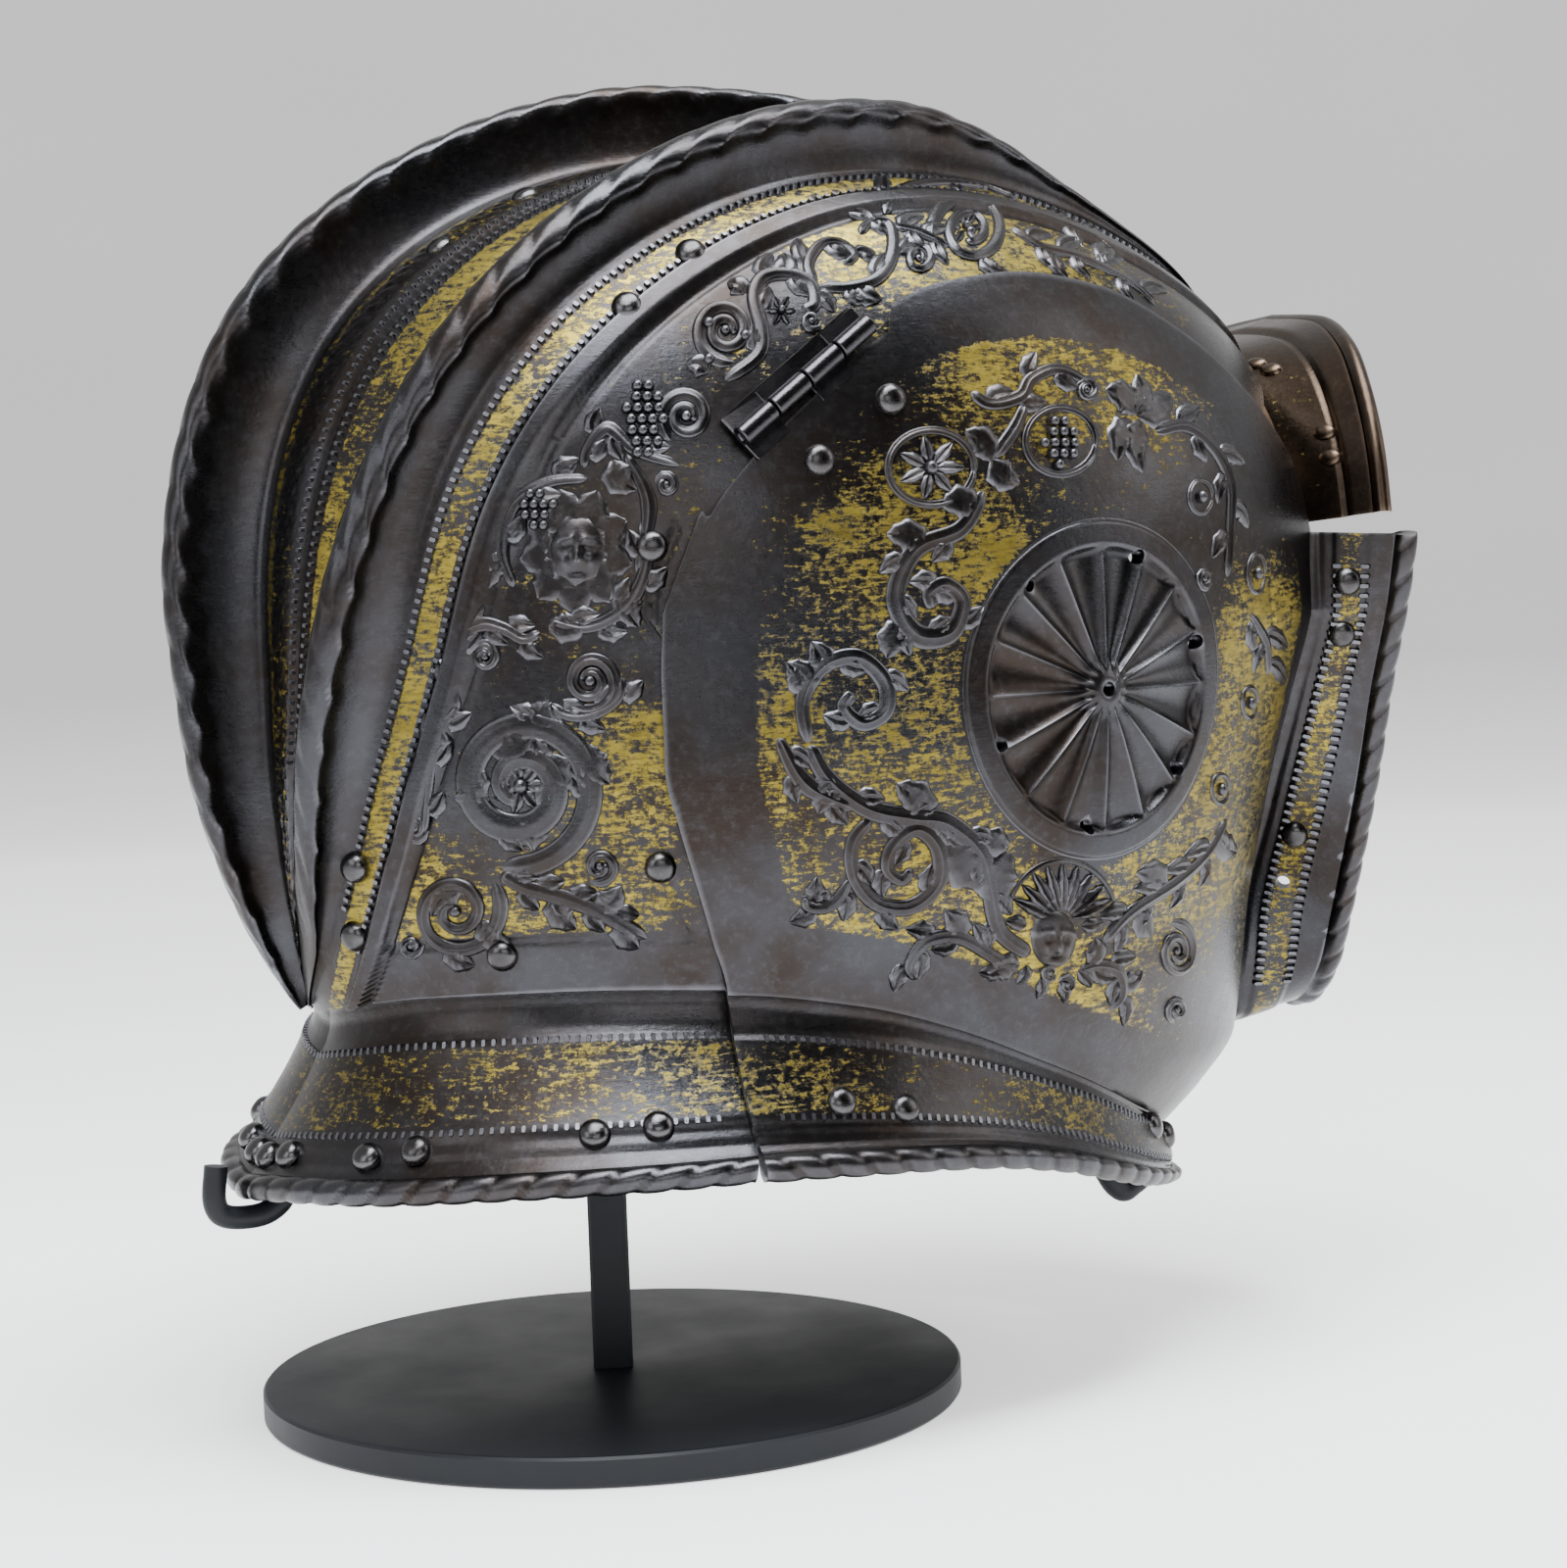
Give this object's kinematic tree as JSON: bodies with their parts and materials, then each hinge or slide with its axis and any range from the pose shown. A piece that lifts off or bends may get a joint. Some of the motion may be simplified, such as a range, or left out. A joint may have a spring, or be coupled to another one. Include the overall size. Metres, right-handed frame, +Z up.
{
  "type": "parade helmet on a display stand",
  "caption": "Close-fitting embossed parade helmet with roped combs, hinged cheekpieces, peak and flared roped collar, resting on a low black display stand.",
  "frame": {"origin": "centre of the underside of the round foot, where the stand rests on a surface", "axes": "+X towards the face opening and the peak, +Y to the wearer's left, +Z up through the stand and the combs"},
  "size_m": [0.3305, 0.2084, 0.3438],
  "materials": {
    "dark_steel": "blackened russet steel, satin, with worn gilding",
    "rivet_steel": "polished dark steel heads",
    "hinge_steel": "blackened steel",
    "peak_steel": "brown patinated steel",
    "black_paint": "matte black paint"
  },
  "bodies": {
    "helmet": {"stand_base": "black_paint", "stand_post": "black_paint", "skull": "dark_steel", "neck_plate": "dark_steel", "peak": "peak_steel", "hinge_right": "hinge_steel", "hinge_left": "hinge_steel", "hinge_pin_right": "hinge_steel", "hinge_pin_left": "hinge_steel", "rivet_collar_nape_right": "rivet_steel", "rivet_collar_nape_left": "rivet_steel", "rivet_collar_rear_right": "rivet_steel", "rivet_collar_rear_left": "rivet_steel", "rivet_collar_side_a_right": "rivet_steel", "rivet_collar_side_a_left": "rivet_steel", "rivet_collar_side_b_right": "rivet_steel", "rivet_collar_side_b_left": "rivet_steel", "rivet_collar_side_c_right": "rivet_steel", "rivet_collar_side_c_left": "rivet_steel", "rivet_collar_side_d_right": "rivet_steel", "rivet_collar_side_d_left": "rivet_steel", "rivet_skull_a_right": "rivet_steel", "rivet_skull_a_left": "rivet_steel", "rivet_skull_b_right": "rivet_steel", "rivet_skull_b_left": "rivet_steel", "rivet_skull_c_right": "rivet_steel", "rivet_skull_c_left": "rivet_steel", "rivet_skull_d_right": "rivet_steel", "rivet_skull_d_left": "rivet_steel", "rivet_skull_e_right": "rivet_steel", "rivet_skull_e_left": "rivet_steel", "rivet_band_a_right": "rivet_steel", "rivet_band_a_left": "rivet_steel", "rivet_band_b_right": "rivet_steel", "rivet_band_b_left": "rivet_steel", "rivet_crown_a_right": "rivet_steel", "rivet_crown_a_left": "rivet_steel", "rivet_crown_b_right": "rivet_steel", "rivet_crown_b_left": "rivet_steel"},
    "cheekpiece_right": {"cheek_right": "dark_steel", "rivet_collar_cheek_a_right": "rivet_steel", "rivet_collar_cheek_b_right": "rivet_steel", "rivet_collar_front_a_right": "rivet_steel", "rivet_collar_front_b_right": "rivet_steel", "rivet_hinge_a_right": "rivet_steel", "rivet_hinge_b_right": "rivet_steel", "rivet_flange_a_right": "rivet_steel", "rivet_flange_b_right": "rivet_steel", "rivet_flange_c_right": "rivet_steel"},
    "cheekpiece_left": {"cheek_left": "dark_steel", "rivet_collar_cheek_a_left": "rivet_steel", "rivet_collar_cheek_b_left": "rivet_steel", "rivet_collar_front_a_left": "rivet_steel", "rivet_collar_front_b_left": "rivet_steel", "rivet_hinge_a_left": "rivet_steel", "rivet_hinge_b_left": "rivet_steel", "rivet_flange_a_left": "rivet_steel", "rivet_flange_b_left": "rivet_steel", "rivet_flange_c_left": "rivet_steel"}
  },
  "joints": [
    {"name": "cheek_right_hinge", "type": "hinge", "parent": "helmet", "child": "cheekpiece_right", "pos_m": [0.02241, -0.09204, 0.26225], "axis": [-0.8019, -0.0388, -0.5963], "range_deg": [0, 95]},
    {"name": "cheek_left_hinge", "type": "hinge", "parent": "helmet", "child": "cheekpiece_left", "pos_m": [0.02241, 0.09204, 0.26225], "axis": [0.8019, -0.0388, 0.5963], "range_deg": [0, 95]}
  ]
}
